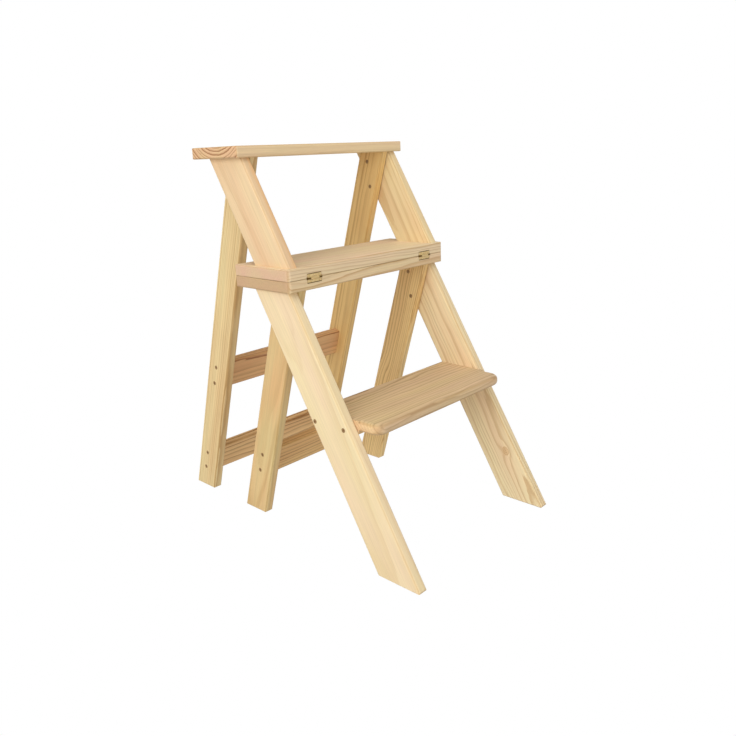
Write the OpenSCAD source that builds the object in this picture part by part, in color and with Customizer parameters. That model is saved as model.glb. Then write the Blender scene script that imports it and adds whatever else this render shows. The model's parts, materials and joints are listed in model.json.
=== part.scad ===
// Folding step ladder in solid pine that turns over into a low chair.
// Two wooden frames are hinged along the front edge of the doubled middle step.
// Millimetres. +X to the user's right, -Y towards the user, +Z up.
// The origin is on the floor, under the middle of the whole ladder.

/* [Overall] */
// Height of the top step's upper face
total_h = 656; // [640:1:680]
// Depth over the feet, front to back
total_d = 602; // [596:1:620]
// Height of the hinge line between the two seat boards
seat_h = 450; // [440:1:460]
// Height of the lower tread's upper face
tread_h = 241; // [225:1:242]

/* [Stock] */
// Thickness of every board
board_t = 18.5; // [17:0.5:20]
// Width of the four stringers across the grain
stringer_w = 74; // [66:1:76]
// Width of the legs and of the rails between them
leg_w = 55; // [48:1:58]
// Radius of the steps' rounded edges
edge_r = 3; // [2:0.5:5]
// Radius of the rounded long edges of the stringers, legs and rails
frame_edge_r = 4; // [3.5, 4, 5]
// Radius of the small edges where the seat boards meet
joint_r = 1; // [0.5:0.25:2]
// Radius of the rounded tips of the feet
foot_r = 3.5; // [1.5, 2.5, 3.5]
// Bevel along the feet's edges over the boards' two faces
foot_bevel = 2.2; // [1:0.1:2.5]

/* [Steps] */
// Width of the top step
top_w = 392; // [384:1:410]
// Width of the seat boards
seat_w = 386; // [380:1:400]
// Depth of the top step
top_d = 122; // [116:1:130]
// Depth of each seat board
seat_d = 133; // [126:1:138]
// Depth of the lower tread
tread_d = 138; // [120:1:142]
// Radius of the tread's front corners, seen from above
tread_corner_r = 20; // [16:1:24]
// Radius of the tread's rounded nose
nose_r = 8; // [3:0.5:8]
// Radius of the seat boards' front corners, seen from above
seat_corner_r = 7; // [2:0.5:10]
// Radius of the other boards' corners, seen from above
board_corner_r = 3; // [2:0.5:8]

/* [Frames] */
// Width over the outer faces of the stringers
frame_w = 368; // [350:1:372]
// Lean of the stringers from the vertical, in degrees
stringer_lean = 30.5; // [30:0.5:30.5]
// Lean of the legs from the vertical, in degrees
leg_lean = 17.4; // [16.5:0.1:18]
// Front face of the seat boards, behind the origin when positive
seat_front_y = -61; // [-63:1:-58]
// Front face of the top step
top_front_y = 38; // [38:1:44]
// Setback of the upper stringers from the seat's front face
upper_setback = 6.5; // [5:0.5:9]
// Rear edge of the short legs at the floor
short_leg_rear_y = 140.5; // [135:0.5:145]

/* [Rails] */
// Distance up the rear leg to the middle of the low rail
low_rail_up = 69; // [45:1:90]
// Distance up the rear leg to the middle of the mid rail
mid_rail_up = 264.5; // [240:0.5:300]
// Distance up the short leg to the middle of its rail
lower_rail_up = 115; // [80:1:160]
// Setback of the rear legs' rails from the legs' rear edge
rear_rail_inset = 14; // [10:1:18]
// Setback of the short legs' rail from the legs' rear edge
lower_rail_inset = 16.5; // [10:0.5:18]

/* [Hinges] */
// Distance between the middles of the two hinges
hinge_spacing = 276; // [240:1:300]
// Length of a hinge along the joint
hinge_len = 30; // [28:1:36]
// Height of one leaf from the hinge line
leaf_h = 7.5; // [7:0.5:10]
// Thickness of a leaf
leaf_t = 1.2; // [1:0.1:1.6]
// Outside radius of the knuckles
knuckle_r = 2.2; // [2:0.1:2.4]
// Radius of the hinge pin
pin_r = 1; // [0.8:0.1:1.1]

/* [Fasteners] */
// Shank radius of the wood screws
screw_r = 2; // [1.5:0.1:2.2]
// Head radius of the wood screws
screw_head_r = 3.8; // [3.2:0.1:4]
// Length of the screws into rails and tread ends
long_screw_l = 40; // [32:1:45]
// Length of the screws from leg into stringer
short_screw_l = 30; // [26:1:32]
// Shank radius of the hinge screws
leaf_screw_r = 1; // [0.8:0.1:1.2]
// Head radius of the hinge screws
leaf_screw_head_r = 1.9; // [1.6:0.1:1.9]
// Length of the hinge screws
leaf_screw_l = 12; // [10:1:16]
// Radius of the hidden dowels
dowel_r = 4; // [3:0.5:5]
// Length of the hidden dowels
dowel_l = 30; // [24:1:34]

/* [Hidden] */
$fn = 48;

// Gap left round screws and dowels in their holes
fit_gap = 0.1;
// Gap from the hinge line to the seat boards' faces
face_gap = 0.2;
// Radial running clearance of the pin in the knuckles
pin_gap = 0.05;
// Gap round the knuckles in the groove of the boards
groove_gap = 0.5;
// Gap between neighbouring knuckles
knuckle_gap = 0.2;
// Gaps behind a leaf and round its edges in its recess
leaf_back_gap = 0.15;
leaf_edge_gap = 0.55;
// Overrun of cutting tools past a surface
over = 1;

stringer_out = frame_w / 2;
stringer_in = stringer_out - board_t;
leg_in = stringer_in - board_t;
stringer_run = stringer_w / cos(stringer_lean);
leg_run = leg_w / cos(leg_lean);

seat_top = seat_h + face_gap + board_t;
seat_bottom = seat_h - face_gap - board_t;
top_bottom = total_h - board_t;
hinge_y = seat_front_y - face_gap;

// A rounded foot tip lies this much inside its sharp corner
function tip_loss(lean) = foot_r * (tan(lean) + 1 / cos(lean) - 1);

// Edge lines in side view, as the y of a board's edge at height z
lower_front_y0 = -total_d / 2 - tip_loss(stringer_lean);
rear_leg_rear_y0 = total_d / 2 + tip_loss(leg_lean);
upper_front_y0 = seat_front_y + upper_setback - seat_top * tan(stringer_lean);
function lower_front_y(z) = lower_front_y0 + z * tan(stringer_lean);
function upper_front_y(z) = upper_front_y0 + z * tan(stringer_lean);

tread_rear_y = lower_front_y(tread_h) + stringer_run;
tread_front_y = tread_rear_y - tread_d;

// Screw places: distances from the tread's rear edge and below its top face,
// either side of a rail's middle, and below the board over a leg's top
tread_screw_in = [17, 81];
tread_screw_down = 13;
rail_screw_off = 17;
leg_screw_down = [17, 64];
leg_screw_in = [24, 44];
// Height a leaf's plate starts at, and its screws' places, from the hinge's
// middle and from the hinge line
plate_z = knuckle_r + groove_gap;
leaf_screw_x = 9;
leaf_screw_z = (plate_z + leaf_h) / 2;
// Dowels, from a stringer end's edges, and how much of each is in the board
dowel_in = 20;
dowel_in_board = 12;
knuckles = 5;

// Outline with rounded corners: straight sides and true arcs
function unit(v) = v / norm(v);
function corner_dirs(p, i) = let (n = len(p))
    [unit(p[(i + n - 1) % n] - p[i]), unit(p[(i + 1) % n] - p[i])];
function half_angle(d) = acos(d[0] * d[1]) / 2;
module round_outline(p, r) {
    polygon([for (i = [0:len(p) - 1])
        let (d = corner_dirs(p, i), t = r[i] / tan(half_angle(d)))
        each [p[i] + t * d[0], p[i] + t * d[1]]]);
    for (i = [0:len(p) - 1]) {
        d = corner_dirs(p, i);
        translate(p[i] + unit(d[0] + d[1]) * r[i] / sin(half_angle(d)))
            circle(r[i]);
    }
}
module round_rect(x0, x1, y0, y1, r)
    round_outline([[x0, y0], [x1, y0], [x1, y1], [x0, y1]], r);

// Draws 2D (y, z) outlines as solids running along x from x0 to x1
module along_x(x0, x1)
    translate([x0, 0, 0]) rotate([90, 0, 90]) linear_extrude(x1 - x0) children();

// Flat board with rounded edges. side_r: radii of the end view's corners
// (bottom front, bottom back, top back, top front). plan_r: plan corners
// (left front, right front, right back, left back).
module flat_board(w, y0, y1, z0, side_r, plan_r) {
    z1 = z0 + board_t;
    intersection() {
        along_x(-w / 2 - over, w / 2 + over) round_rect(y0, y1, z0, z1, side_r);
        translate([0, y1 + over, 0]) rotate([90, 0, 0])
            linear_extrude(y1 - y0 + 2 * over)
                round_rect(-w / 2, w / 2, z0, z1, end_edge_r(side_r));
        translate([0, 0, z0 - over]) linear_extrude(board_t + 2 * over)
            round_rect(-w / 2, w / 2, y0, y1, plan_r);
    }
}
// The ends' lower and upper edges take the radii of the back edges
function end_edge_r(side_r) = [side_r[1], side_r[1], side_r[2], side_r[2]];

// Leaning board from z0 to z1 in the x range x0 to x1. front_y0 is its
// front edge's y at z = 0, corner_r the side view's corner radii.
module leaning_board(x0, x1, front_y0, lean, w, z0, z1, corner_r) {
    run = w / cos(lean);
    y0 = front_y0 + z0 * tan(lean);
    y1 = front_y0 + z1 * tan(lean);
    intersection() {
        along_x(x0, x1)
            round_outline([[y0, z0], [y0 + run, z0], [y1 + run, z1], [y1, z1]], corner_r);
        translate([0, front_y0, 0]) rotate([-lean, 0, 0])
            translate([0, 0, -w]) linear_extrude(2 * w + z1 / cos(lean))
                round_rect(x0, x1, 0, w,
                    [frame_edge_r, frame_edge_r, frame_edge_r, frame_edge_r]);
    }
}

// Leaning board that stands on the floor. Its foot has rounded tips, and its
// lower edges over the two faces are bevelled.
module footed_board(x0, x1, front_y0, lean, w, z1) difference() {
    leaning_board(x0, x1, front_y0, lean, w, 0, z1, [foot_r, foot_r, 0, 0]);
    for (x = [x0, x1]) translate([x, 0, 0]) rotate([0, 45, 0])
        cube([foot_bevel * sqrt(2), 2 * total_d, foot_bevel * sqrt(2)], center = true);
}

// Countersunk screw along +X with its head's face at the origin
module screw(l, r, head_r) {
    head_h = head_r - r;
    tip_h = 2 * r;
    difference() {
        rotate([0, 90, 0]) union() {
            cylinder(h = head_h, r1 = head_r, r2 = r);
            cylinder(h = l - tip_h, r = r);
            translate([0, 0, l - tip_h]) cylinder(h = tip_h, r1 = r, r2 = r / 4);
        }
        for (a = [0, 90]) rotate([a, 0, 0])
            translate([-over, -head_r / 9, -head_r / 2])
                cube([over + head_h * 0.7, head_r / 4.5, head_r]);
    }
}
module screw_hole(l, r, head_r) {
    head_h = head_r - r;
    hole_r = r + fit_gap;
    rotate([0, 90, 0]) {
        cylinder(h = l + fit_gap, r = hole_r);
        cylinder(h = head_h, r1 = head_r + fit_gap, r2 = hole_r);
        translate([0, 0, -over]) cylinder(h = over, r = head_r + fit_gap);
    }
}

// Places children on the side's face at x, pointing along dir
module at_face(x, y, z, dir)
    translate([x, y, z]) rotate([0, 0, dir > 0 ? 0 : 180]) children();

module at_tread_screws(side)
    for (d = tread_screw_in)
        at_face(side * stringer_out, tread_rear_y - d, tread_h - tread_screw_down, -side)
            children();

// Points on a leg: up along its rear edge from the floor, in from that edge
function on_leg(rear_y0, up, in) =
    [rear_y0 - up * sin(leg_lean) - in * cos(leg_lean),
     up * cos(leg_lean) - in * sin(leg_lean)];

module at_rail_screws(side, rear_y0, rail_up, rail_inset)
    for (s = [-1, 1]) {
        p = on_leg(rear_y0, rail_up + s * rail_screw_off, rail_inset + board_t / 2);
        at_face(side * stringer_in, p[0], p[1], -side) children();
    }
module at_mid_rail_screws(side)
    at_rail_screws(side, rear_leg_rear_y0, mid_rail_up, rear_rail_inset) children();
module at_low_rail_screws(side)
    at_rail_screws(side, rear_leg_rear_y0, low_rail_up, rear_rail_inset) children();
module at_lower_rail_screws(side)
    at_rail_screws(side, short_leg_rear_y, lower_rail_up, lower_rail_inset) children();

// Screws from inside a leg into its stringer
module at_leg_screws(side, rear_y0, z_top)
    for (i = [0, 1]) {
        z = z_top - leg_screw_down[i];
        at_face(side * leg_in, rear_y0 - z * tan(leg_lean) - leg_screw_in[i], z, side)
            children();
    }
module at_upper_leg_screws(side)
    at_leg_screws(side, rear_leg_rear_y0, top_bottom) children();
module at_lower_leg_screws(side)
    at_leg_screws(side, short_leg_rear_y, seat_bottom) children();

// Dowels between a stringer's end and a board. z is the dowel's lower end.
module at_dowels(side, front_y, z)
    for (y = [front_y + dowel_in, front_y + stringer_run - dowel_in])
        translate([side * (stringer_out - board_t / 2), y, z]) children();
module at_top_dowels(side)
    at_dowels(side, upper_front_y(top_bottom), top_bottom + dowel_in_board - dowel_l)
        children();
module at_upper_seat_dowels(side)
    at_dowels(side, upper_front_y(seat_top), seat_top - dowel_in_board) children();
module at_lower_seat_dowels(side)
    at_dowels(side, lower_front_y(seat_bottom), seat_bottom + dowel_in_board - dowel_l)
        children();

module dowel() cylinder(h = dowel_l, r = dowel_r);
module dowel_hole()
    translate([0, 0, -fit_gap]) cylinder(h = dowel_l + 2 * fit_gap, r = dowel_r + fit_gap);

// Hinges: dir is 1 for an upper leaf and -1 for a lower one
module at_hinge(side) translate([side * hinge_spacing / 2, hinge_y, seat_h]) children();
module at_leaf_screws(side, dir)
    at_hinge(side)
        for (s = [-1, 1])
            translate([s * leaf_screw_x, face_gap, dir * leaf_screw_z])
                rotate([0, 0, 90]) children();

knuckle_pitch = hinge_len / knuckles;
module knuckle(i, r)
    translate([-hinge_len / 2 + i * knuckle_pitch + knuckle_gap / 2, 0, 0])
        rotate([0, 90, 0]) cylinder(h = knuckle_pitch - knuckle_gap, r = r);

// Flat leaf with its own knuckles; the first is the index of its first one
module leaf(dir, first) {
    difference() {
        union() {
            translate([-hinge_len / 2, face_gap, dir > 0 ? plate_z : -leaf_h])
                cube([hinge_len, leaf_t, leaf_h - plate_z]);
            for (i = [first:2:knuckles - 1]) {
                knuckle(i, knuckle_r);
                translate([-hinge_len / 2 + i * knuckle_pitch + knuckle_gap / 2,
                           face_gap, dir > 0 ? 0 : -plate_z - over / 2])
                    cube([knuckle_pitch - knuckle_gap, leaf_t, plate_z + over / 2]);
            }
        }
        translate([-hinge_len, 0, 0]) rotate([0, 90, 0])
            cylinder(h = 2 * hinge_len, r = pin_r + pin_gap);
        for (s = [-1, 1])
            translate([s * leaf_screw_x, face_gap, dir * leaf_screw_z]) rotate([0, 0, 90])
                screw_hole(leaf_screw_l, leaf_screw_r, leaf_screw_head_r);
    }
}
module pin() {
    head_h = 0.8;
    head_r = knuckle_r - 0.5;
    translate([-hinge_len / 2, 0, 0]) rotate([0, 90, 0]) {
        cylinder(h = hinge_len, r = pin_r);
        for (z = [-head_h, hinge_len]) translate([0, 0, z]) cylinder(h = head_h, r = head_r);
    }
}
// Recess for a leaf and the knuckles' groove
module hinge_recess(dir) {
    half = hinge_len / 2 + leaf_edge_gap;
    depth = face_gap + leaf_t + leaf_back_gap;
    translate([-half, -over, dir > 0 ? 0 : -leaf_h - leaf_edge_gap])
        cube([2 * half, depth + over, leaf_h + leaf_edge_gap]);
    translate([-half - over, 0, 0]) rotate([0, 90, 0])
        cylinder(h = 2 * (half + over), r = knuckle_r + groove_gap);
}

// Wooden boards of the upper frame
module top_step() color([0.86, 0.74, 0.57]) difference() {
    flat_board(top_w, top_front_y, top_front_y + top_d, top_bottom,
        [edge_r, edge_r, edge_r, edge_r],
        [board_corner_r, board_corner_r, board_corner_r, board_corner_r]);
    for (side = [-1, 1]) at_top_dowels(side) dowel_hole();
}
module upper_seat_board() color([0.82, 0.68, 0.53]) difference() {
    flat_board(seat_w, seat_front_y, seat_front_y + seat_d, seat_h + face_gap,
        [joint_r, joint_r, edge_r, edge_r],
        [seat_corner_r, seat_corner_r, board_corner_r, board_corner_r]);
    for (side = [-1, 1]) {
        at_upper_seat_dowels(side) dowel_hole();
        at_leaf_screws(side, 1) screw_hole(leaf_screw_l, leaf_screw_r, leaf_screw_head_r);
        at_hinge(side) hinge_recess(1);
    }
}
module upper_stringer(side) difference() {
    leaning_board(side > 0 ? stringer_in : -stringer_out,
        side > 0 ? stringer_out : -stringer_in,
        upper_front_y0, stringer_lean, stringer_w, seat_top, top_bottom,
        [0, 0, 0, 0]);
    at_top_dowels(side) dowel_hole();
    at_upper_seat_dowels(side) dowel_hole();
    at_upper_leg_screws(side) screw_hole(short_screw_l, screw_r, screw_head_r);
}
module left_upper_stringer() color([0.93, 0.82, 0.65]) upper_stringer(-1);
module right_upper_stringer() color([0.92, 0.80, 0.62]) upper_stringer(1);

// Leg with its rear edge at rear_y0 on the floor, up to z_top
module leg(side, rear_y0, z_top)
    footed_board(side > 0 ? leg_in : -stringer_in, side > 0 ? stringer_in : -leg_in,
        rear_y0 - leg_run, -leg_lean, leg_w, z_top);
module rear_leg(side) difference() {
    leg(side, rear_leg_rear_y0, top_bottom);
    at_upper_leg_screws(side) screw_hole(short_screw_l, screw_r, screw_head_r);
    at_mid_rail_screws(side) screw_hole(long_screw_l, screw_r, screw_head_r);
    at_low_rail_screws(side) screw_hole(long_screw_l, screw_r, screw_head_r);
}
module left_rear_leg() color([0.87, 0.77, 0.60]) rear_leg(-1);
module right_rear_leg() color([0.75, 0.60, 0.42]) rear_leg(1);

// Rail between two legs, its middle rail_up along the legs
module rail(rear_y0, rail_up, rail_inset) {
    p = on_leg(rear_y0, rail_up, rail_inset);
    translate([-leg_in, p[0], p[1]]) rotate([leg_lean, 0, 0])
        rotate([90, 0, 90]) linear_extrude(2 * leg_in)
            round_rect(-board_t, 0, -leg_w / 2, leg_w / 2,
                [frame_edge_r, frame_edge_r, frame_edge_r, frame_edge_r]);
}
module rear_mid_rail() color([0.69, 0.49, 0.33]) difference() {
    rail(rear_leg_rear_y0, mid_rail_up, rear_rail_inset);
    for (side = [-1, 1])
        at_mid_rail_screws(side) screw_hole(long_screw_l, screw_r, screw_head_r);
}
module rear_low_rail() color([0.72, 0.55, 0.38]) difference() {
    rail(rear_leg_rear_y0, low_rail_up, rear_rail_inset);
    for (side = [-1, 1])
        at_low_rail_screws(side) screw_hole(long_screw_l, screw_r, screw_head_r);
}

// Wooden boards of the lower frame
module lower_seat_board() color([0.83, 0.69, 0.52]) difference() {
    flat_board(seat_w, seat_front_y, seat_front_y + seat_d, seat_bottom,
        [edge_r, edge_r, joint_r, joint_r],
        [seat_corner_r, seat_corner_r, board_corner_r, board_corner_r]);
    for (side = [-1, 1]) {
        at_lower_seat_dowels(side) dowel_hole();
        at_leaf_screws(side, -1) screw_hole(leaf_screw_l, leaf_screw_r, leaf_screw_head_r);
        at_hinge(side) hinge_recess(-1);
    }
}
// Tread whose rounded nose turns its front corners and stops at the stringers
module nosed_tread() {
    z0 = tread_h - board_t;
    corner_x = stringer_in - tread_corner_r;
    corner_y = tread_front_y + tread_corner_r;
    nose_end_y = lower_front_y(z0);
    along_x(-corner_x, corner_x)
        round_rect(tread_front_y, tread_rear_y, z0, tread_h, [nose_r, edge_r, edge_r, nose_r]);
    along_x(-stringer_in, stringer_in)
        round_rect(nose_end_y, tread_rear_y, z0, tread_h, [0, edge_r, edge_r, 0]);
    translate([0, nose_end_y, 0]) rotate([90, 0, 0])
        linear_extrude(nose_end_y - corner_y)
            round_rect(-stringer_in, stringer_in, z0, tread_h,
                [nose_r, nose_r, nose_r, nose_r]);
    for (side = [-1, 1])
        translate([side * corner_x, corner_y, 0]) rotate([0, 0, side > 0 ? 270 : 180])
            rotate_extrude(angle = 90)
                round_rect(0, tread_corner_r, z0, tread_h, [0, nose_r, nose_r, 0]);
}
module lower_tread() color([0.77, 0.65, 0.48]) difference() {
    nosed_tread();
    for (side = [-1, 1])
        at_tread_screws(side) screw_hole(long_screw_l, screw_r, screw_head_r);
}
module lower_stringer(side) difference() {
    footed_board(side > 0 ? stringer_in : -stringer_out,
        side > 0 ? stringer_out : -stringer_in,
        lower_front_y0, stringer_lean, stringer_w, seat_bottom);
    at_lower_seat_dowels(side) dowel_hole();
    at_lower_leg_screws(side) screw_hole(short_screw_l, screw_r, screw_head_r);
    at_tread_screws(side) screw_hole(long_screw_l, screw_r, screw_head_r);
}
module left_lower_stringer() color([0.96, 0.87, 0.71]) lower_stringer(-1);
module right_lower_stringer() color([0.91, 0.80, 0.62]) lower_stringer(1);
module short_leg(side) difference() {
    leg(side, short_leg_rear_y, seat_bottom);
    at_lower_leg_screws(side) screw_hole(short_screw_l, screw_r, screw_head_r);
    at_lower_rail_screws(side) screw_hole(long_screw_l, screw_r, screw_head_r);
}
module left_short_leg() color([0.86, 0.72, 0.52]) short_leg(-1);
module right_short_leg() color([0.75, 0.60, 0.42]) short_leg(1);
module lower_rail() color([0.72, 0.57, 0.39]) difference() {
    rail(short_leg_rear_y, lower_rail_up, lower_rail_inset);
    for (side = [-1, 1])
        at_lower_rail_screws(side) screw_hole(long_screw_l, screw_r, screw_head_r);
}

// Hinges
brass = [0.78, 0.62, 0.30];
module left_hinge_upper_leaf() color(brass) at_hinge(-1) leaf(1, 1);
module right_hinge_upper_leaf() color(brass) at_hinge(1) leaf(1, 1);
module left_hinge_lower_leaf() color(brass) at_hinge(-1) leaf(-1, 0);
module right_hinge_lower_leaf() color(brass) at_hinge(1) leaf(-1, 0);
module left_hinge_pin() color(brass) at_hinge(-1) pin();
module right_hinge_pin() color(brass) at_hinge(1) pin();
module leaf_screw() screw(leaf_screw_l, leaf_screw_r, leaf_screw_head_r);
module left_upper_leaf_screws() color(brass) at_leaf_screws(-1, 1) leaf_screw();
module right_upper_leaf_screws() color(brass) at_leaf_screws(1, 1) leaf_screw();
module left_lower_leaf_screws() color(brass) at_leaf_screws(-1, -1) leaf_screw();
module right_lower_leaf_screws() color(brass) at_leaf_screws(1, -1) leaf_screw();

// Wood screws, in pairs
dark_steel = [0.30, 0.25, 0.18];
module long_screw() screw(long_screw_l, screw_r, screw_head_r);
module short_screw() screw(short_screw_l, screw_r, screw_head_r);
module left_tread_screws() color(dark_steel) at_tread_screws(-1) long_screw();
module right_tread_screws() color(dark_steel) at_tread_screws(1) long_screw();
module left_mid_rail_screws() color(dark_steel) at_mid_rail_screws(-1) long_screw();
module right_mid_rail_screws() color(dark_steel) at_mid_rail_screws(1) long_screw();
module left_low_rail_screws() color(dark_steel) at_low_rail_screws(-1) long_screw();
module right_low_rail_screws() color(dark_steel) at_low_rail_screws(1) long_screw();
module left_lower_rail_screws() color(dark_steel) at_lower_rail_screws(-1) long_screw();
module right_lower_rail_screws() color(dark_steel) at_lower_rail_screws(1) long_screw();
module left_upper_leg_screws() color(dark_steel) at_upper_leg_screws(-1) short_screw();
module right_upper_leg_screws() color(dark_steel) at_upper_leg_screws(1) short_screw();
module left_lower_leg_screws() color(dark_steel) at_lower_leg_screws(-1) short_screw();
module right_lower_leg_screws() color(dark_steel) at_lower_leg_screws(1) short_screw();

// Hidden beech dowels, in pairs
beech = [0.80, 0.62, 0.42];
module left_top_step_dowels() color(beech) at_top_dowels(-1) dowel();
module right_top_step_dowels() color(beech) at_top_dowels(1) dowel();
module left_upper_seat_dowels() color(beech) at_upper_seat_dowels(-1) dowel();
module right_upper_seat_dowels() color(beech) at_upper_seat_dowels(1) dowel();
module left_lower_seat_dowels() color(beech) at_lower_seat_dowels(-1) dowel();
module right_lower_seat_dowels() color(beech) at_lower_seat_dowels(1) dowel();

top_step();
upper_seat_board();
left_upper_stringer();
right_upper_stringer();
left_rear_leg();
right_rear_leg();
rear_mid_rail();
rear_low_rail();
lower_seat_board();
lower_tread();
left_lower_stringer();
right_lower_stringer();
left_short_leg();
right_short_leg();
lower_rail();
left_hinge_upper_leaf();
right_hinge_upper_leaf();
left_hinge_lower_leaf();
right_hinge_lower_leaf();
left_hinge_pin();
right_hinge_pin();
left_upper_leaf_screws();
right_upper_leaf_screws();
left_lower_leaf_screws();
right_lower_leaf_screws();
left_tread_screws();
right_tread_screws();
left_mid_rail_screws();
right_mid_rail_screws();
left_low_rail_screws();
right_low_rail_screws();
left_lower_rail_screws();
right_lower_rail_screws();
left_upper_leg_screws();
right_upper_leg_screws();
left_lower_leg_screws();
right_lower_leg_screws();
left_top_step_dowels();
right_top_step_dowels();
left_upper_seat_dowels();
right_upper_seat_dowels();
left_lower_seat_dowels();
right_lower_seat_dowels();
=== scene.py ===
"""Looks for the step ladder: clear pine boards, brass hinges, bronzed screws, a plain studio."""

import json
import math

import bpy
from mathutils import Matrix, Vector

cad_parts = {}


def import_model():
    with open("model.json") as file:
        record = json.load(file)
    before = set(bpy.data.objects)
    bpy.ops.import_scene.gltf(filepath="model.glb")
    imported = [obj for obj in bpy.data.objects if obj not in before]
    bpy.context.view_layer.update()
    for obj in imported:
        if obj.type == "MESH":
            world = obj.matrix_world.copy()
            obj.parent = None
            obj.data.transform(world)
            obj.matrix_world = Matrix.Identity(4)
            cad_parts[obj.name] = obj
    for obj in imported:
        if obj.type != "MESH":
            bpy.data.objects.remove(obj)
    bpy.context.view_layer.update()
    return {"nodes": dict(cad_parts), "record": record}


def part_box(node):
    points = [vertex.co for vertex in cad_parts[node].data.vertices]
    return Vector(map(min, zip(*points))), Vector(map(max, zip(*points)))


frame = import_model()
nodes = frame["nodes"]

# Leans of the boards from the vertical, as in the CAD
STRINGER_LEAN = math.radians(30.5)
LEG_LEAN = math.radians(17.4)
# Colour of the studio's lamps, and of the softer one overhead
WARM_WHITE = (1.0, 0.985, 0.96)
TOP_WHITE = (1.0, 0.99, 0.98)


def linear(rgb):
    """Linear colour from 0-255 display values."""
    def one(c):
        c = c / 255
        return c / 12.92 if c <= 0.04045 else ((c + 0.055) / 1.055) ** 2.4
    return tuple(one(c) for c in rgb) + (1.0,)


# ---------------------------------------------------------------- node helper
class Graph:
    """Short names for building a material's node tree."""

    def __init__(self, name):
        self.material = bpy.data.materials.new(name)
        self.material.use_nodes = True
        self.tree = self.material.node_tree
        self.tree.nodes.clear()

    def node(self, kind, **props):
        n = self.tree.nodes.new(kind)
        for key, value in props.items():
            setattr(n, key, value)
        return n

    def put(self, socket, value):
        if isinstance(value, bpy.types.NodeSocket):
            self.tree.links.new(value, socket)
        elif value is not None:
            socket.default_value = value

    def math(self, op, a, b=None, c=None):
        n = self.node("ShaderNodeMath", operation=op)
        for socket, value in zip(n.inputs, (a, b, c)):
            self.put(socket, value)
        return n.outputs[0]

    def vector(self, op, a, b=None, out=0, scale=None):
        n = self.node("ShaderNodeVectorMath", operation=op)
        self.put(n.inputs[0], a)
        self.put(n.inputs[1], b)
        if scale is not None:
            self.put(n.inputs["Scale"], scale)
        return n.outputs[out]

    def combine(self, x, y, z):
        n = self.node("ShaderNodeCombineXYZ")
        for socket, value in zip(n.inputs, (x, y, z)):
            self.put(socket, value)
        return n.outputs[0]

    def separate(self, v):
        n = self.node("ShaderNodeSeparateXYZ")
        self.put(n.inputs[0], v)
        return n.outputs

    def noise(self, vec=None, w=None, scale=1.0, detail=2.0, rough=0.5, out=0, dims="3D"):
        n = self.node("ShaderNodeTexNoise", noise_dimensions=dims)
        if vec is not None:
            self.put(n.inputs["Vector"], vec)
        if w is not None:
            self.put(n.inputs["W"], w)
        self.put(n.inputs["Scale"], scale)
        self.put(n.inputs["Detail"], detail)
        self.put(n.inputs["Roughness"], rough)
        return n.outputs[out]

    def remap(self, value, a, b, c=0.0, d=1.0, smooth=False):
        n = self.node("ShaderNodeMapRange", interpolation_type="SMOOTHSTEP" if smooth else "LINEAR")
        for socket, v in zip(n.inputs, (value, a, b, c, d)):
            self.put(socket, v)
        return n.outputs[0]

    def mix(self, factor, a, b):
        n = self.node("ShaderNodeMix", data_type="RGBA")
        self.put(n.inputs[0], factor)
        self.put(n.inputs[6], a)
        self.put(n.inputs[7], b)
        return n.outputs[2]

    def ramp(self, factor, stops):
        """Grey value that runs in straight lines through (position, value) stops."""
        n = self.node("ShaderNodeValToRGB")
        elements = n.color_ramp.elements
        while len(elements) < len(stops):
            elements.new(0.5)
        for element, (at, value) in zip(elements, stops):
            element.position = at
            element.color = (value, value, value, 1)
        self.put(n.inputs[0], factor)
        return n.outputs[0]

    def bump(self, height, strength, distance):
        n = self.node("ShaderNodeBump")
        self.put(n.inputs["Strength"], strength)
        self.put(n.inputs["Distance"], distance)
        self.put(n.inputs["Height"], height)
        return n.outputs[0]

    def finish(self, **sockets):
        """Principled shader with the given sockets, on the material's output."""
        shader = self.node("ShaderNodeBsdfPrincipled")
        for key, value in sockets.items():
            self.put(shader.inputs[key.replace("_", " ")], value)
        output = self.node("ShaderNodeOutputMaterial")
        self.tree.links.new(shader.outputs[0], output.inputs[0])
        return self.material


# ---------------------------------------------------------------- wood
def axes(lean, along_grain):
    """Grain, width and thickness directions of a board that leans back by lean."""
    up = Vector((0, math.sin(lean), math.cos(lean)))
    back = Vector((0, math.cos(lean), -math.sin(lean)))
    side = Vector((1, 0, 0))
    if along_grain:
        return up, back, side
    return side, up, back


FLAT = (Vector((1, 0, 0)), Vector((0, 1, 0)), Vector((0, 0, 1)))
STRINGER = axes(STRINGER_LEAN, True)
LEG = axes(-LEG_LEAN, True)
RAIL = axes(-LEG_LEAN, False)


# Centimetres in a metre, the unit of the wood's patterns
CM = 100.0
# Noises drawn out along the grain: detail per centimetre, along it and across it
PITH_DRIFT, RING_WAVER = (0.045, 0.16), (0.22, 1.6)
STREAKS, HAIRS, CLOUDS = (0.10, 5.0), (0.8, 38.0), (0.05, 0.33)
# How far the rings waver, in rings, and how much the hairs lighten and darken
WAVER_SIZE, HAIR_STRENGTH = 0.35, 0.06
# Darkness through one year's ring, from its pith side (0) to its bark side (1)
RING_PROFILE = [(0.0, 0.75), (0.06, 0.10), (0.45, 0.10), (0.72, 0.40), (0.90, 1.0), (1.0, 0.95)]
# Cosines of the facing between which end grain, and then a rounded edge, fades in
END_FADE, EDGE_FADE = (0.35, 0.95), (0.98, 0.78)
# Painted shade: the colour is darkened on the rounded edges, standing in for their shading
EDGE_SHADE = (0.84, 0.79, 0.71)
# A knot's paler and darker rings, and how much they hide the wood round them
KNOT_PALE, KNOT_DARK, KNOT_COVER = (226, 192, 146), (178, 136, 86), 0.7


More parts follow.
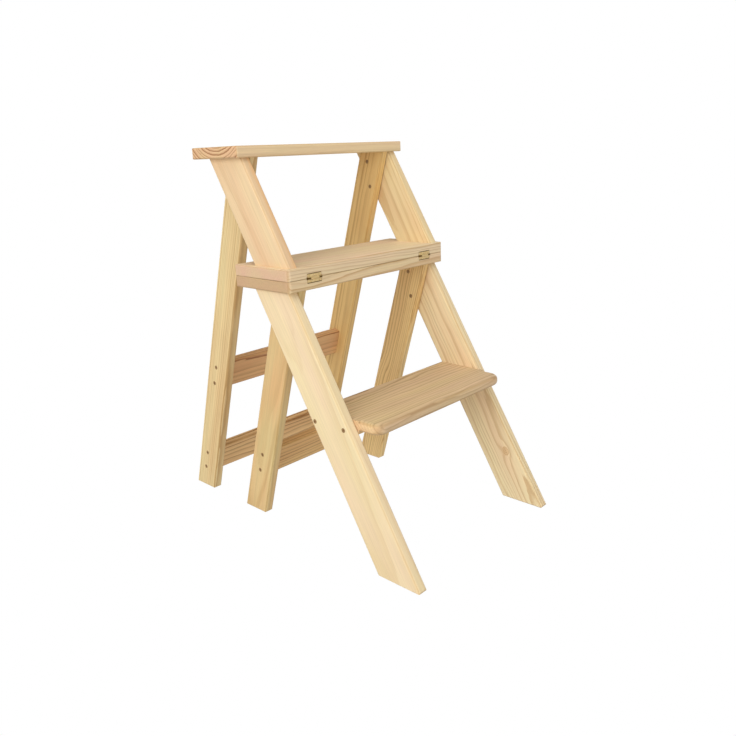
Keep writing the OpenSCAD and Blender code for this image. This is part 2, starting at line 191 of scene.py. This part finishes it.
def board_place(g, node, directions):
    """Centimetres along, across and through the board, and its facing to each direction."""
    low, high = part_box(node)
    place = g.node("ShaderNodeTexCoord")
    local = g.vector("SUBTRACT", place.outputs["Object"], tuple((low + high) / 2))
    where = [g.math("MULTIPLY", g.vector("DOT_PRODUCT", local, tuple(d), out=1), CM)
             for d in directions]
    facing = [g.math("ABSOLUTE", g.vector("DOT_PRODUCT", place.outputs["Normal"], tuple(d), out=1))
              for d in directions]
    return where, facing


def grain_noise(g, where, shift, pattern, **options):
    """Noise drawn out along the grain by pattern. shift picks its own stretch of the noise."""
    along, across, through = where
    lengthways, sideways = pattern
    return g.noise(g.combine(g.math("MULTIPLY_ADD", along, lengthways, shift),
                             g.math("MULTIPLY", across, sideways),
                             g.math("MULTIPLY", through, sideways)), **options)


def knot_marks(g, where, knots, seed):
    """Mask of the knots, their own small rings, and how far they push the board's rings."""
    stretch, unevenness, edge_at, ring_count = 0.75, 0.5, 1.25, 3.2
    edge_fade = (1.08, 0.92)
    push_falloff, push_size = -0.55, 0.9
    mask, rings, push = 0.0, 0.0, 0.0
    for k, (knot_along, knot_across, size) in enumerate(knots):
        da = g.math("MULTIPLY", g.math("SUBTRACT", where[0], knot_along), stretch)
        dw = g.math("SUBTRACT", where[1], knot_across)
        reach = g.math("SQRT", g.math("ADD", g.math("MULTIPLY", da, da),
                                      g.math("MULTIPLY", dw, dw)))
        wobble = g.noise(g.combine(da, dw, seed + k), scale=1.6, detail=2)
        reach = g.math("ADD", reach, g.math("MULTIPLY", wobble, unevenness * size))
        reach = g.math("DIVIDE", reach, edge_at * size)
        inside = g.remap(reach, *edge_fade, smooth=True)
        mask = g.math("MAXIMUM", mask, inside)
        turns = g.math("FRACT", g.math("MULTIPLY", reach, ring_count))
        rings = g.math("ADD", rings, g.math("MULTIPLY", inside, turns))
        bell = g.math("POWER", 2.0, g.math("MULTIPLY", g.math("MULTIPLY", reach, reach),
                                           push_falloff))
        push = g.math("ADD", push, g.math("MULTIPLY", bell, push_size * size))
    return mask, rings, push


def pith_distance(g, where, pith, tilt, wave, ring, push, seed):
    """Centimetres from the wandering pith line, with the knots' push and a fine waver."""
    along, across, through = where
    slow = g.vector("SUBTRACT", grain_noise(g, where, seed, PITH_DRIFT, detail=2, out=1),
                    (0.5, 0.5, 0.5))
    drift = g.separate(g.vector("SCALE", slow, scale=2.0 * wave))
    w = g.math("ADD", g.math("MULTIPLY_ADD", along, tilt[0], across),
               g.math("SUBTRACT", drift[0], pith[0]))
    t = g.math("ADD", g.math("MULTIPLY_ADD", along, tilt[1], through),
               g.math("SUBTRACT", drift[1], pith[1]))
    radius = g.math("ADD", g.vector("LENGTH", g.combine(w, t, 0.0), out=1), push)
    waver = g.math("SUBTRACT", grain_noise(g, where, seed + 7.0, RING_WAVER, detail=2), 0.5)
    return g.math("ADD", radius, g.math("MULTIPLY", waver, WAVER_SIZE * ring))


def late_wood(g, radius, ring, seed):
    """How dark each growth ring's late wood is: slow to darken, sharp at its outer edge."""
    width_detail, unevenness, weakest_year = 0.7, 1.3, 0.35
    uneven = g.noise(w=g.math("MULTIPLY_ADD", radius, width_detail, seed), dims="1D", detail=1)
    turns = g.math("ADD", g.math("DIVIDE", radius, ring), g.math("MULTIPLY", uneven, unevenness))
    of_year = g.node("ShaderNodeTexWhiteNoise", noise_dimensions="1D")
    g.put(of_year.inputs["W"], g.math("ADD", g.math("FLOOR", turns), seed))
    strength = g.remap(of_year.outputs[0], 0.0, 1.0, weakest_year, 1.0)
    return g.math("MULTIPLY", g.ramp(g.math("FRACT", turns), RING_PROFILE), strength)


def pine(node, directions, pith, ring, early, pink, late, contrast=0.5, tilt=(0.0, 0.0),
         wave=0.5, fibre=0.12, heart=None, end=(0.92, 0.84, 0.76), end_contrast=0.5,
         knots=(), seed=0.0):
    """Solid pine cut from a log: growth rings round a pith line beside the board.

    Lengths are centimetres in the board's own frame. pith is the pith line's place across
    the width and thickness, tilt its slope along the grain, wave how far it wanders, ring the
    rings' spacing. early and pink are the pale wood's two tints, late the dark bands' colour,
    and heart a radius round the pith and the colour inside it. contrast is the bands' strength
    on the faces, end_contrast on the end grain, end the end grain's tint. fibre is the
    strength of the streaks. Each knot is (along, across, radius).
    """
    g = Graph("pine_" + node)
    where, facing = board_place(g, node, directions)
    knot_mask, knot_rings, push = knot_marks(g, where, knots, seed)
    radius = pith_distance(g, where, pith, tilt, wave, ring, push, seed)
    band = late_wood(g, radius, ring, seed)
    end_grain = g.remap(facing[0], *END_FADE, smooth=True)
    squarest = g.math("MAXIMUM", facing[0], g.math("MAXIMUM", facing[1], facing[2]))
    rounded = g.remap(squarest, *EDGE_FADE, smooth=True)

    # Thin streaks, hair-fine fibres, and broad soft colour changes
    streak = grain_noise(g, where, seed + 3.0, STREAKS, detail=4, rough=0.62)
    hair = grain_noise(g, where, seed + 5.0, HAIRS, detail=2)
    cloud = grain_noise(g, where, seed + 11.0, CLOUDS, detail=1.5)

    colour = g.mix(g.remap(cloud, 0.28, 0.72), linear(early), linear(pink))
    if heart:
        heart_radius, heart_colour = heart
        softness = 0.35
        inside = g.remap(radius, heart_radius + softness, heart_radius - softness, smooth=True)
        colour = g.mix(inside, colour, linear(heart_colour))
    depth = g.remap(end_grain, 0.0, 1.0, contrast, end_contrast)
    colour = g.mix(g.math("MULTIPLY", band, depth), colour, linear(late))
    if knots:
        knot_colour = g.mix(knot_rings, linear(KNOT_PALE), linear(KNOT_DARK))
        colour = g.mix(g.math("MULTIPLY", knot_mask, KNOT_COVER), colour, knot_colour)
    lift = g.math("ADD", g.math("MULTIPLY", g.math("SUBTRACT", streak, 0.5), 2.0 * fibre),
                  g.math("MULTIPLY", g.math("SUBTRACT", hair, 0.5), HAIR_STRENGTH))
    colour = g.vector("SCALE", colour, scale=g.math("ADD", lift, 1.0))
    colour = g.mix(end_grain, colour, g.vector("MULTIPLY", colour, end))
    # Painted shade on the rounded edges, by darkening their colour
    colour = g.mix(rounded, colour, g.vector("MULTIPLY", colour, EDGE_SHADE))

    height = g.math("ADD", g.math("MULTIPLY", band, -0.5), g.math("MULTIPLY", hair, 0.5))
    height = g.math("ADD", height, g.math("MULTIPLY", streak, 0.5))
    roughness = g.math("ADD", g.remap(streak, 0.3, 0.7, 0.50, 0.62),
                       g.math("MULTIPLY", band, -0.06))
    return g.finish(Base_Color=colour, Roughness=roughness, Specular_IOR_Level=0.3,
                    Normal=g.bump(height, 0.25, 0.0004))


# Colours are display values of the wood under the studio light
BOARDS = {
    "top_step": dict(
        directions=FLAT, pith=(-0.9, 7.0), ring=0.56, contrast=0.3,
        wave=0.15, fibre=0.2, seed=1.7,
        early=(232, 211, 165), pink=(234, 203, 165), late=(158, 108, 67),
        end=(0.90, 0.79, 0.74), end_contrast=1.25),
    "upper_seat_board": dict(
        directions=FLAT, pith=(-9.0, -5.5), ring=0.5, contrast=0.7, tilt=(0.01, 0.015),
        wave=0.8, fibre=0.2, seed=2.9,
        early=(229, 212, 171), pink=(232, 204, 174), late=(188, 146, 98),
        end=(0.82, 0.71, 0.69), end_contrast=0.08),
    "lower_seat_board": dict(
        directions=FLAT, pith=(6.0, -7.0), ring=0.5, contrast=0.75, tilt=(0.0, -0.02),
        wave=0.9, fibre=0.2, seed=4.1,
        early=(228, 208, 165), pink=(230, 201, 166), late=(188, 146, 96),
        end=(0.70, 0.60, 0.55), end_contrast=0.10),
    "lower_tread": dict(
        directions=FLAT, pith=(10.0, -11.0), ring=0.5, contrast=0.85, tilt=(0.012, 0.0),
        wave=0.9, fibre=0.22, seed=5.7,
        early=(214, 190, 144), pink=(212, 182, 147), late=(152, 114, 72),
        end=(1.12, 1.04, 1.02), end_contrast=0.45),
    "left_upper_stringer": dict(
        directions=STRINGER, pith=(-5.6, 1.5), ring=2.2, contrast=0.36, tilt=(0.0, 0.03),
        wave=1.6, fibre=0.2, seed=6.2, heart=(2.5, (232, 188, 138)),
        early=(228, 203, 162), pink=(223, 187, 149), late=(194, 153, 103)),
    "right_upper_stringer": dict(
        directions=STRINGER, pith=(2.5, -6.0), ring=0.7, contrast=0.55, tilt=(0.01, -0.04),
        fibre=0.16, seed=7.7,
        early=(230, 212, 165), pink=(225, 197, 153), late=(186, 146, 92)),
    "left_lower_stringer": dict(
        directions=STRINGER, pith=(1.0, 9.0), ring=0.8, contrast=0.5, tilt=(0.01, 0.02),
        fibre=0.16, seed=8.4,
        early=(233, 215, 171), pink=(234, 210, 175), late=(206, 170, 118)),
    "right_lower_stringer": dict(
        directions=STRINGER, pith=(-3.0, -4.0), ring=0.6, contrast=0.6, tilt=(0.0, 0.02),
        wave=0.8, fibre=0.2, seed=9.6, knots=((-15.2, -1.7, 0.7),),
        early=(234, 218, 175), pink=(232, 205, 166), late=(179, 136, 84)),
    "left_rear_leg": dict(
        directions=LEG, pith=(7.5, 2.0), ring=0.45, contrast=0.75, fibre=0.26, seed=10.1,
        early=(225, 206, 155), pink=(219, 189, 139), late=(178, 137, 82)),
    "right_rear_leg": dict(
        directions=LEG, pith=(-4.0, 5.0), ring=0.7, contrast=0.7, fibre=0.18, seed=11.8,
        early=(237, 205, 140), pink=(220, 184, 122), late=(180, 134, 75)),
    "left_short_leg": dict(
        directions=LEG, pith=(1.2, 8.0), ring=0.8, contrast=0.6, tilt=(0.0, 0.03),
        fibre=0.22, seed=12.6,
        early=(213, 193, 139), pink=(218, 179, 127), late=(181, 144, 88)),
    "right_short_leg": dict(
        directions=LEG, pith=(5.0, 3.0), ring=0.42, contrast=0.9, wave=0.9, seed=13.3,
        early=(237, 207, 146), pink=(226, 191, 135), late=(159, 117, 66)),
    "rear_mid_rail": dict(
        directions=RAIL, pith=(3.5, 5.0), ring=0.6, contrast=0.9, fibre=0.2, seed=14.9,
        early=(227, 188, 136), pink=(216, 168, 122), late=(143, 86, 49)),
    "rear_low_rail": dict(
        directions=RAIL, pith=(-4.0, 4.5), ring=0.65, contrast=0.95, fibre=0.2, seed=15.5,
        early=(236, 202, 146), pink=(229, 186, 131), late=(147, 99, 54)),
    "lower_rail": dict(
        directions=RAIL, pith=(5.0, -5.0), ring=0.55, contrast=0.95, fibre=0.2, seed=16.2,
        early=(224, 188, 128), pink=(215, 171, 115), late=(140, 93, 48)),
}


def dowel_wood():
    """Beech with short flecks up the dowel."""
    g = Graph("beech_dowel")
    place = g.node("ShaderNodeTexCoord").outputs["Object"]
    across, along = 14.0, 1.2
    flecks = g.noise(g.vector("MULTIPLY", g.vector("SCALE", place, scale=CM),
                              (across, across, along)), detail=3)
    colour = g.mix(flecks, linear((214, 170, 122)), linear((186, 138, 92)))
    return g.finish(Base_Color=colour, Roughness=g.remap(flecks, 0.3, 0.7, 0.5, 0.65),
                    Normal=g.bump(flecks, 0.2, 0.0003))


# ---------------------------------------------------------------- metal
# The last brass colour is painted shade, for the dark gaps round the leaves and the shaded knuckles
# at the ends
BRASS_BRIGHT, BRASS_TARNISHED, BRASS_SHADE = (246, 222, 166), (224, 192, 132), (112, 82, 36)
STEEL_BRONZED, STEEL_WORN = (150, 116, 74), (190, 156, 110)


def distance(g, value, centre):
    return g.math("ABSOLUTE", g.math("SUBTRACT", value, centre))


def brass():
    """Pale brass with painted shade along the leaves' outer edges and on the knuckles at the ends.
    """
    leaf_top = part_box("left_hinge_upper_leaf")[1][2]
    leaf_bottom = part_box("left_hinge_lower_leaf")[0][2]
    hinge_line, leaf_height = (leaf_top + leaf_bottom) / 2, (leaf_top - leaf_bottom) / 2
    pin_low, pin_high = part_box("right_hinge_pin")
    middle, half_length = (pin_low[0] + pin_high[0]) / 2, (pin_high[0] - pin_low[0]) / 2
    g = Graph("aged_brass_painted_shade")
    place = g.node("ShaderNodeTexCoord").outputs["Object"]
    cm = g.vector("SCALE", place, scale=CM)
    tarnish = g.noise(cm, scale=6.0, detail=4, rough=0.6)
    brushed = g.noise(g.vector("MULTIPLY", cm, (3.0, 60.0, 60.0)), detail=2)
    colour = g.mix(g.remap(tarnish, 0.38, 0.68, smooth=True), linear(BRASS_BRIGHT),
                   linear(BRASS_TARNISHED))

    # Both hinges at once: distance from the hinge line, and along it from a hinge's middle
    x, _, z = g.separate(place)
    height = distance(g, z, hinge_line)
    along = distance(g, g.math("ABSOLUTE", x), middle)
    # Painted shade fades in over the leaves' last millimetre, and on the knuckles towards the pin's
    # ends
    edge_from, edge_to = leaf_height - 0.0014, leaf_height - 0.0004
    end_from, end_to = 0.5 * half_length, 0.65 * half_length
    knuckle_from, knuckle_to = 0.0021, 0.0010
    edges = g.remap(height, edge_from, edge_to, smooth=True)
    ends = g.math("MULTIPLY", g.remap(along, end_from, end_to, smooth=True),
                  g.remap(height, knuckle_from, knuckle_to, smooth=True))
    # Painted shade mixed into the brass colour
    colour = g.mix(g.math("MAXIMUM", edges, ends), colour, linear(BRASS_SHADE))
    return g.finish(Base_Color=colour, Metallic=0.6,
                    Roughness=g.remap(tarnish, 0.3, 0.7, 0.36, 0.52),
                    Normal=g.bump(brushed, 0.15, 0.0001))


def dark_steel():
    """Bronzed steel screws, worn lighter in patches."""
    g = Graph("bronzed_steel")
    place = g.node("ShaderNodeTexCoord").outputs["Object"]
    wear = g.noise(g.vector("SCALE", place, scale=CM), scale=9.0, detail=4, rough=0.65)
    colour = g.mix(g.remap(wear, 0.45, 0.72, smooth=True), linear(STEEL_BRONZED),
                   linear(STEEL_WORN))
    return g.finish(Base_Color=colour, Metallic=0.3,
                    Roughness=g.remap(wear, 0.3, 0.7, 0.42, 0.6),
                    Normal=g.bump(wear, 0.2, 0.0001))


def paint(node, material):
    for slot in nodes[node].material_slots:
        slot.material = material


for name, look in BOARDS.items():
    paint(name, pine(name, **look))
shared = {"beech": dowel_wood(), "brass": brass(), "screw_steel": dark_steel()}
for part in frame["record"]["subparts"]:
    if part["material_slot"] in shared:
        paint(part["node"], shared[part["material_slot"]])


# ---------------------------------------------------------------- studio
# The room glows from the side that the dome faces; the floor lights the undersides
ROOM_GLOW, DOME_GLOW, FLOOR_GLOW = 0.08, 0.79, 0.67
DOME_TOWARDS = Vector((-0.75, -0.55, 0.38)).normalized()
DOME_FROM, DOME_TO = -0.3, 1.0
MIDDLE = (0, 0, 0.35)
# Soft panels that all face the middle: name, place, size, watts, colour
PANELS = (
    ("key", (-3.0, -0.6, 1.6), (2.2, 2.0), 50.0, WARM_WHITE),
    ("front", (-0.8, -3.2, 0.5), (1.6, 1.6), 13.0, WARM_WHITE),
    ("top", (-0.4, -0.4, 3.2), (2.4, 2.4), 28.0, TOP_WHITE),
    ("fill_right", (3.2, 0.4, 1.0), (2.0, 2.0), 26.0, WARM_WHITE),
    ("fill_back", (0.4, 3.2, 1.0), (2.0, 2.0), 26.0, WARM_WHITE),
)


def white_for_camera(tree, strength, socket):
    """Emission that looks white to the camera but lights the scene by strength."""
    ray = tree.nodes.new("ShaderNodeLightPath")
    seen, lit = tree.nodes.new("ShaderNodeEmission"), tree.nodes.new("ShaderNodeEmission")
    seen.inputs["Color"].default_value = (1, 1, 1, 1)
    lit.inputs["Color"].default_value = WARM_WHITE + (1,)
    if isinstance(strength, bpy.types.NodeSocket):
        tree.links.new(strength, lit.inputs["Strength"])
    else:
        lit.inputs["Strength"].default_value = strength
    mix = tree.nodes.new("ShaderNodeMixShader")
    tree.links.new(ray.outputs["Is Camera Ray"], mix.inputs[0])
    tree.links.new(lit.outputs[0], mix.inputs[1])
    tree.links.new(seen.outputs[0], mix.inputs[2])
    tree.links.new(mix.outputs[0], socket)


def floor():
    side = 30.0
    mesh = bpy.data.meshes.new("studio_floor")
    mesh.from_pydata([(-side, -side, 0), (side, -side, 0), (side, side, 0), (-side, side, 0)],
                     [], [(0, 1, 2, 3)])
    ob = bpy.data.objects.new("studio_floor", mesh)
    bpy.context.scene.collection.objects.link(ob)
    material = bpy.data.materials.new("pale_floor")
    material.use_nodes = True
    tree = material.node_tree
    tree.nodes.clear()
    out = tree.nodes.new("ShaderNodeOutputMaterial")
    white_for_camera(tree, FLOOR_GLOW, out.inputs[0])
    mesh.materials.append(material)


def world():
    room = bpy.data.worlds.new("studio")
    bpy.context.scene.world = room
    room.use_nodes = True
    tree = room.node_tree
    tree.nodes.clear()
    out = tree.nodes.new("ShaderNodeOutputWorld")
    towards = tree.nodes.new("ShaderNodeTexCoord")
    side = tree.nodes.new("ShaderNodeVectorMath")
    side.operation = "DOT_PRODUCT"
    side.inputs[1].default_value = DOME_TOWARDS
    glow = tree.nodes.new("ShaderNodeMapRange")
    glow.interpolation_type = "SMOOTHSTEP"
    limits = (DOME_FROM, DOME_TO, ROOM_GLOW, ROOM_GLOW + DOME_GLOW)
    for socket, value in zip(glow.inputs[1:5], limits):
        socket.default_value = value
    tree.links.new(towards.outputs["Generated"], side.inputs[0])
    tree.links.new(side.outputs["Value"], glow.inputs[0])
    white_for_camera(tree, glow.outputs[0], out.inputs[0])


def panel(name, at, size, power, colour):
    light = bpy.data.lights.new(name, "AREA")
    light.shape = "RECTANGLE"
    light.size, light.size_y = size
    light.energy = power
    light.color = colour
    ob = bpy.data.objects.new(name, light)
    ob.location = at
    ob.rotation_euler = (Vector(MIDDLE) - Vector(at)).to_track_quat("-Z", "Y").to_euler()
    bpy.context.scene.collection.objects.link(ob)


world()
floor()
for row in PANELS:
    panel(*row)


# ---------------------------------------------------------------- camera
CAMERA_AT = (-0.9014, -0.9053, 0.6389)
YAW, PITCH, ROLL = math.radians(-46.103), math.radians(-15.205), math.radians(-2.353)
# Sensor width and focal length in millimetres, and the shift as a part of the picture
SENSOR, LENS = 36.0, 35.32
SHIFT = (0.001, -0.027)
CLIP = (0.05, 200.0)


def camera():
    forward = Vector((-math.sin(YAW) * math.cos(PITCH), math.cos(YAW) * math.cos(PITCH),
                      math.sin(PITCH)))
    right = Vector((math.cos(YAW), math.sin(YAW), 0))
    up = right.cross(forward)
    right, up = (right * math.cos(ROLL) + up * math.sin(ROLL),
                 up * math.cos(ROLL) - right * math.sin(ROLL))
    data = bpy.data.cameras.new("camera")
    data.sensor_width, data.lens = SENSOR, LENS
    data.shift_x, data.shift_y = SHIFT
    data.clip_start, data.clip_end = CLIP
    ob = bpy.data.objects.new("camera", data)
    turn = Matrix((right, up, -forward)).transposed().to_4x4()
    ob.matrix_world = Matrix.Translation(CAMERA_AT) @ turn
    bpy.context.scene.collection.objects.link(ob)
    bpy.context.scene.camera = ob


camera()
bpy.context.scene.view_settings.view_transform = "Standard"
